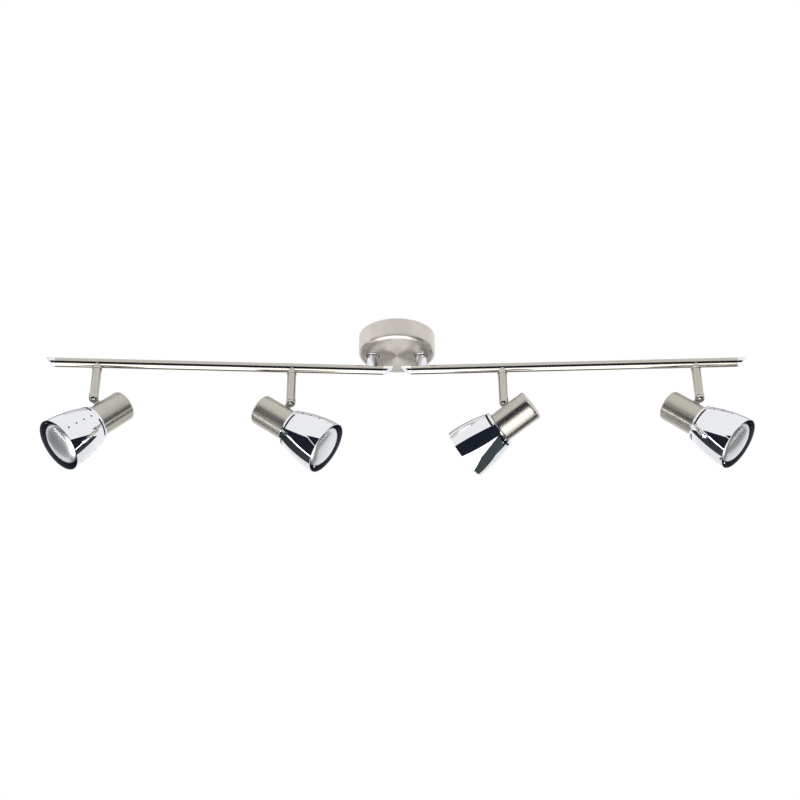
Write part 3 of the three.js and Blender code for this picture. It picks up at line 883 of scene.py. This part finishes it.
def spun_cup(sizes, number, pivot, centre, axes):
    """A cup: a deep drawn can with a rounded end, open at the shade and slotted for its lug."""
    front = sizes.shade_rear - sizes.gap
    rear = sizes.shade_rear - sizes.cup_length
    radius, wall = sizes.cup_radius, sizes.cup_wall
    outline = spaced(eased(
        [[0, rear], [radius, rear], [radius, front], [radius - wall, front],
         [radius - wall, rear + wall], [0, rear + wall]],
        [0, 0.0032, 0.0003, 0.0003, 0.0024, 0], 8,
    ), 0.003)
    can = skin(f"spun_cup_{number}", moved(lathed(outline, 144), centre, axes))
    half = sizes.fork_slot / 2
    reach = sizes.cup_radius - sizes.head_offset
    wide = sizes.lug_radius + sizes.gap
    slot = brick("slot", [reach - 0.0035, -half, -wide], [reach + 0.002, half, wide], pivot, axes)
    return cut(can, [slot])


def flare(sizes, distance):
    """The shade's outer radius at a distance from its rear: the mouth's radius less the flare
    times what is left of the length, to the power 1.9."""
    left = 1 - np.asarray(distance) / sizes.shade_length
    return sizes.shade_mouth - (sizes.shade_mouth - sizes.shade_neck) * left**1.9


def bell_shade(sizes, number, centre, axes):
    """A bell shade: a thin spun wall along the flare, turned in at its rear, with four curved
    slots round its neck and a row of round vents between each two of them."""
    wall, rear, long = sizes.shade_wall, sizes.shade_rear, sizes.shade_length
    hole = 0.0189
    distance = np.linspace(0.0, 1, 60) ** 1.2 * (long - 0.0018) + 0.0018
    outside = np.stack([flare(sizes, distance), rear + distance], axis=-1)
    inside = outside[::-1] - [wall, 0]
    inside[-1, 1] = rear + wall
    neck = eased([[hole, rear], [outside[0, 0] - 0.0002, rear], outside[0]], [0, 0.0017, 0], 8)
    back = eased([inside[-2], inside[-1], [hole, rear + wall], [hole, rear]],
                 [0, 0.0006, 0.0002, 0])
    outline = np.vstack([neck[:-1], outside, inside[:-2], back])
    bell = skin(f"bell_shade_{number}", moved(lathed(outline, 192), centre, axes))
    first = clock_of(number, centre, axes)
    tools = []
    for quarter in np.arange(4) * np.pi / 2 + first:
        tools.append(vent_slot(sizes, quarter + np.pi / 4, centre, axes))
        out = np.cos(quarter) * axes[0] + np.sin(quarter) * axes[1]
        beside = np.cross(axes[2], out)
        for step in range(4):
            place = sizes.vent_first + step * sizes.vent_pitch
            start = centre + axes[2] * (rear + place)
            at = float(flare(sizes, place))
            tools.append(rod("vent", sizes.vent_hole, at - 0.004, at + 0.003,
                             np.array([beside, axes[2], out]), start, 24))
    return cut(bell, tools)


def paint_shade_inside_darker(shade, centre, axes, material):
    """Gives the shade's inside a darker, rougher copy of the chrome, painted shade for the dark that
    the inside mirrors: the faces that look towards the lamp's axis.
    """
    mesh = shade.data
    mesh.materials.append(material)
    count = len(mesh.polygons)
    middle, normal = np.empty(count * 3, np.float32), np.empty(count * 3, np.float32)
    mesh.polygons.foreach_get("center", middle)
    mesh.polygons.foreach_get("normal", normal)
    radial = (middle.reshape(-1, 3) - centre) @ axes[:2].T
    facing = (normal.reshape(-1, 3) @ axes[:2].T * radial).sum(axis=1)
    ahead = normal.reshape(-1, 3) @ axes[2]
    radius = np.linalg.norm(radial, axis=1)
    inside = (facing < -0.5 * radius) | ((ahead > 0.7) & (radius < 0.9 * radius.max()))
    mesh.polygons.foreach_set("material_index", inside.astype(np.int32))
    mesh.update()


def clock_of(number, centre, axes):
    """The turn of a shade's first row of round vents, from its CAD points: they lie on the rim
    of a hole at the mouth's end of each row, nearer its rear than the mouth."""
    local = (cad_points(f"shade_{number}") - centre) @ axes.T
    sizes = bpy.context.scene.fixture_sizes
    last = sizes.shade_rear + sizes.vent_first + 3 * sizes.vent_pitch
    near = np.abs(local[:, 2] - last) < 1.2 * sizes.vent_hole
    angle = np.arctan2(local[near, 1], local[near, 0])
    return float(np.angle(np.exp(4j * angle).mean()) / 4)


def vent_slot(sizes, middle, centre, axes):
    """A curved slot's tool: a bar bent round the axis whose half width falls off as a quarter
    circle at both ends, from inside the wall to outside it."""
    steps = 48
    half_span = np.radians(29)
    inner, outer = sizes.shade_neck - 0.004, sizes.shade_neck + 0.005
    end = sizes.slot_width / 2 / sizes.shade_neck
    turn = np.linspace(-half_span, half_span, steps)
    fall = np.clip((np.abs(turn) - (half_span - end)) / end, 0, 0.995)
    half = sizes.slot_width / 2 * np.sqrt(1 - fall**2)
    place = sizes.shade_rear + sizes.slot_place
    radius = np.array([inner, outer, outer, inner])
    height = np.array([-1, -1, 1, 1])[None, :] * half[:, None] + place
    angle = (turn + middle)[:, None]
    rings = np.stack([radius * np.cos(angle), radius * np.sin(angle), height], axis=-1)
    return skin("slot", moved(capped(rings), centre, axes))


def socket_rings(sizes):
    """A socket turned about the lamp's axis: a moulded barrel with a ring that holds the shade
    against its cup, and a threaded well for the lamp."""
    contact = lamp_crown(sizes) - sizes.lamp_length
    rear, ring = contact - 0.01, sizes.shade_rear + sizes.shade_wall + sizes.gap
    barrel, well, front = 0.0186, 0.0137, sizes.shade_rear + 0.007
    outline = eased(
        [[0, rear], [barrel, rear], [barrel, ring], [0.0226, ring], [0.0226, ring + 0.0025],
         [barrel, ring + 0.0025], [barrel, front], [well, front], [well, contact - sizes.gap],
         [0, contact - sizes.gap]],
        [0, 0.0015, 0.0003, 0.0006, 0.0006, 0.0004, 0.0006, 0.0006, 0.0006, 0],
    )
    return lathed(outline, 96)


def lamp_crown(sizes):
    """The lamp's crown, from the pivot along its axis."""
    return sizes.shade_rear + sizes.shade_length + sizes.lamp_ahead


def bulb_rings(sizes):
    """A blown bulb turned about its axis: a straight neck, a cubic curve out to the widest ring,
    another over the low crown, and the same again one wall inside."""
    crown = lamp_crown(sizes)
    contact = crown - sizes.lamp_length
    neck, front = 0.013, sizes.shade_rear + 0.007
    widest = crown - sizes.lamp_dome

    def side(inset):
        """One face of the glass, inset from the outside."""
        wide = sizes.lamp_radius - inset
        reflector = cubic([neck - inset, front], [neck - inset + 0.003, front + 0.014],
                          [wide, widest - 0.014], [wide, widest], 28)
        top = cubic([wide, widest], [wide, widest + 0.6 * sizes.lamp_dome - inset / 2],
                    [sizes.lamp_radius * 0.52, crown - inset], [0, crown - inset], 28)
        return np.vstack([[[neck - inset, contact + 0.0243]], reflector, top[1:]])

    outside, inside = side(0), side(0.001)[::-1]
    return lathed(np.vstack([outside, inside, outside[:1]]), 128)


def shell_rings(sizes):
    """A lamp's screw shell: its radius rises and falls with the height and the turn together,
    which makes a rolled thread of 3.6 mm pitch, with a plain rim and a stepped contact."""
    contact = lamp_crown(sizes) - sizes.lamp_length
    sides, pitch = 96, 0.003629
    turn = round_turn(sides)
    height = np.linspace(0.006, 0.024, 90)[:, None]
    swell = np.clip(np.minimum(height - 0.0065, 0.0215 - height) / 0.002, 0, 1)
    wave = np.cos(2 * np.pi * height / pitch - turn)
    radius = 0.0127 + 0.0005 * swell * wave
    thread = np.stack(
        [radius * np.cos(turn), radius * np.sin(turn), contact + height + 0 * turn], axis=-1
    )
    foot = lathed(eased(
        [[0, contact], [0.0045, contact], [0.0055, contact + 0.0015], [0.0105, contact + 0.003],
         [0.0127, contact + 0.006]],
        [0, 0.0006, 0.0004, 0.001, 0],
    ), sides)
    cap = lathed([[0, contact + 0.024]], sides)
    return np.concatenate([foot, thread, cap])


# Studio ----------------------------------------------------------------------------------------


class FIXTURE_OT_studio(bpy.types.Operator):
    """Make the floor, the light, the panels that the chrome mirrors, and the camera"""

    bl_idname = "fixture.studio"
    bl_label = "Studio"

    def execute(self, context):
        scene = context.scene
        scene.view_settings.view_transform = "Standard"
        make_sky(scene)
        make_floor()
        make_flags()
        make_lights(scene)
        make_camera(scene)
        return {"FINISHED"}


def make_sky(scene):
    """An even white surround."""
    world = bpy.data.worlds.new("studio white")
    world.use_nodes = True
    tree = world.node_tree
    tree.nodes.clear()
    white = add_node(tree, "ShaderNodeBackground", Color=(1, 1, 1, 1), Strength=1.0)
    output = tree.nodes.new("ShaderNodeOutputWorld")
    tree.links.new(white.outputs["Background"], output.inputs["Surface"])
    scene.world = world


def panel(name, corners, material):
    """A flat stage panel between its corners."""
    mesh = bpy.data.meshes.new(name)
    mesh.from_pydata(corners, [], [tuple(range(len(corners)))])
    mesh.materials.append(material)
    plane = bpy.data.objects.new(name, mesh)
    bpy.context.scene.collection.objects.link(plane)
    return plane


def glow(name, low, high, strength, bottom=0.0, top=1.0):
    """A stage panel's own light, which runs evenly from one tone at its bottom to another at its
    top."""
    material, tree, output = blank(name)
    at = add_node(tree, "ShaderNodeTexCoord")
    split = add_node(tree, "ShaderNodeSeparateXYZ", {"Vector": at.outputs["Object"]})
    rise = add_node(tree, "ShaderNodeMapRange", {"Value": split.outputs["Z"]},
                    From_Min=bottom, From_Max=top)
    tone = between(tree, rise.outputs["Result"], from_hex(low), from_hex(high))
    light = add_node(tree, "ShaderNodeEmission", {"Color": tone}, Strength=strength)
    tree.links.new(light.outputs["Emission"], output.inputs["Surface"])
    return material


def make_floor():
    """A plain pale floor, a room's height below the ceiling."""
    material, tree, output = blank("pale floor")
    surfaced(material, tree, output, {}, Base_Color=(0.92, 0.92, 0.92, 1), Roughness=0.9)
    reach = 30
    panel("floor", [(-reach, -reach, FLOOR), (reach, -reach, FLOOR), (reach, reach, FLOOR),
                    (-reach, reach, FLOOR)], material)


def standing(start, end, top):
    """Corners of an upright panel on the floor, between two points of it."""
    return [(*start, FLOOR + 0.01), (*end, FLOOR + 0.01), (*end, top), (*start, top)]


def lying(*corners):
    """Corners of a panel lying on the floor."""
    return [(x, y, FLOOR + 0.005) for x, y in corners]


def make_flags():
    """Panels that only a mirror sees, in the round: dark walls in front and at both sides with a
    bright strip between them, a bright floor in front, dark floor at the right and behind, and a
    grey patch of ceiling behind."""
    navy = glow("navy wall", "#23272F", "#1A202C", 1.0, FLOOR, 0.9)
    slate = glow("slate wall", "#3E4749", "#2C3437", 1.0, FLOOR, 0.4)
    slate_floor = glow("slate floor", "#454F51", "#454F51", 1.0)
    grey = glow("grey ceiling", "#8E8F94", "#8E8F94", 1.0)
    umber_floor = glow("umber floor", "#4E4641", "#4E4641", 1.0)
    strip = glow("strip light", "#FFFFFF", "#FFFFFF", 5.0)
    bright = glow("bright floor", "#FFFFFF", "#FFFFFF", 2.4)
    flags = {
        "front_wall": (navy, standing((-3.0, -3.0), (3.0, -3.0), 0.85)),
        "left_front_wall": (navy, standing((-3.2, -3.0), (-3.2, -0.25), 0.45)),
        "right_front_wall": (navy, standing((3.2, -3.0), (3.2, 0.24), 0.45)),
        "left_back_wall": (slate, standing((-3.2, -0.05), (-3.0, 2.3), 0.1)),
        "right_back_wall": (slate, standing((3.2, 0.36), (3.2, 1.9), 0.15)),
        "left_strip": (strip, standing((-3.25, -0.25), (-3.25, -0.05), -0.2)),
        "right_strip": (strip, standing((3.25, 0.2), (3.25, 0.38), -0.2)),
        "front_floor": (bright, lying((-2.6, -2.98), (2.4, -2.98), (1.3, -0.7), (1.3, 1.0),
                                      (-2.6, 1.0))),
        "right_floor": (slate_floor, lying((2.4, -2.98), (3.19, -2.98), (3.19, 2.3),
                                           (1.3, 2.3), (1.3, -0.7))),
        "overhead": (grey, [(-2.6, 1.7, 3.0), (2.6, 1.7, 3.0), (2.6, 2.7, 3.0),
                            (-2.6, 2.7, 3.0)]),
        "back_floor": (umber_floor, lying((-3.2, 1.3), (1.05, 1.3), (1.05, 5.0), (-3.2, 5.0))),
        "back_floor_right": (umber_floor, lying((1.05, 2.3), (3.2, 2.3), (3.2, 5.0),
                                                (1.05, 5.0))),
    }
    for name, (material, corners) in flags.items():
        flag = panel(name, corners, material)
        flag.visible_camera = False
        flag.visible_diffuse = False
        flag.visible_shadow = False
        flag.visible_transmission = False


def make_lights(scene):
    """One large soft light overhead in front, which mirrors do not show."""
    lamp = bpy.data.lights.new("overhead", "AREA")
    lamp.shape = "SQUARE"
    lamp.size = 3
    lamp.energy = 20
    light = bpy.data.objects.new("overhead", lamp)
    light.location = (0, -2.5, 2.0)
    light.rotation_euler = (Vector((0, 0, -0.1)) - light.location).to_track_quat(
        "-Z", "Y").to_euler()
    light.visible_glossy = False
    scene.collection.objects.link(light)


def make_camera(scene):
    """A camera below and in front of the fixture, looking up at it."""
    data = bpy.data.cameras.new("camera")
    data.sensor_width = 36
    data.lens = 54
    data.shift_x = 0.0046
    camera = bpy.data.objects.new("camera", data)
    target = Vector((-0.0013, 0, -0.1072))
    rise = np.radians(26.83)
    sight = Vector((0, np.cos(rise), np.sin(rise)))
    camera.location = target - sight * 1.7926
    turned = sight.to_track_quat("-Z", "Y")
    camera.rotation_euler = turned.to_euler()
    camera.rotation_euler.rotate_axis("Z", np.radians(-0.3))
    scene.collection.objects.link(camera)
    scene.camera = camera


# Sidebar and registration ------------------------------------------------------------------------


OPERATORS = (
    FIXTURE_OT_canopy,
    FIXTURE_OT_leads,
    FIXTURE_OT_bars,
    FIXTURE_OT_arms,
    FIXTURE_OT_heads,
    FIXTURE_OT_studio,
)


class FIXTURE_PT_panel(bpy.types.Panel):
    """Lists the operators that make the fixture"""

    bl_idname = "FIXTURE_PT_panel"
    bl_label = "Ceiling spotlight bar"
    bl_space_type = "VIEW_3D"
    bl_region_type = "UI"
    bl_category = "Spotlight"

    def draw(self, context):
        for operator in OPERATORS:
            self.layout.operator(operator.bl_idname)


CLASSES = (FixtureSizes, FixtureColours, *OPERATORS, FIXTURE_PT_panel)


def register():
    for cls in CLASSES:
        bpy.utils.register_class(cls)
    bpy.types.Scene.fixture_sizes = bpy.props.PointerProperty(type=FixtureSizes)
    bpy.types.Scene.fixture_colours = bpy.props.PointerProperty(type=FixtureColours)


def unregister():
    del bpy.types.Scene.fixture_colours
    del bpy.types.Scene.fixture_sizes
    for cls in reversed(CLASSES):
        bpy.utils.unregister_class(cls)


def main():
    """Registers the add-on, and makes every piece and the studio."""
    register()
    bpy.ops.fixture.studio()
    bpy.ops.fixture.canopy()
    bpy.ops.fixture.leads()
    bpy.ops.fixture.bars()
    bpy.ops.fixture.arms()
    bpy.ops.fixture.heads()


if __name__ == "__main__":
    main()
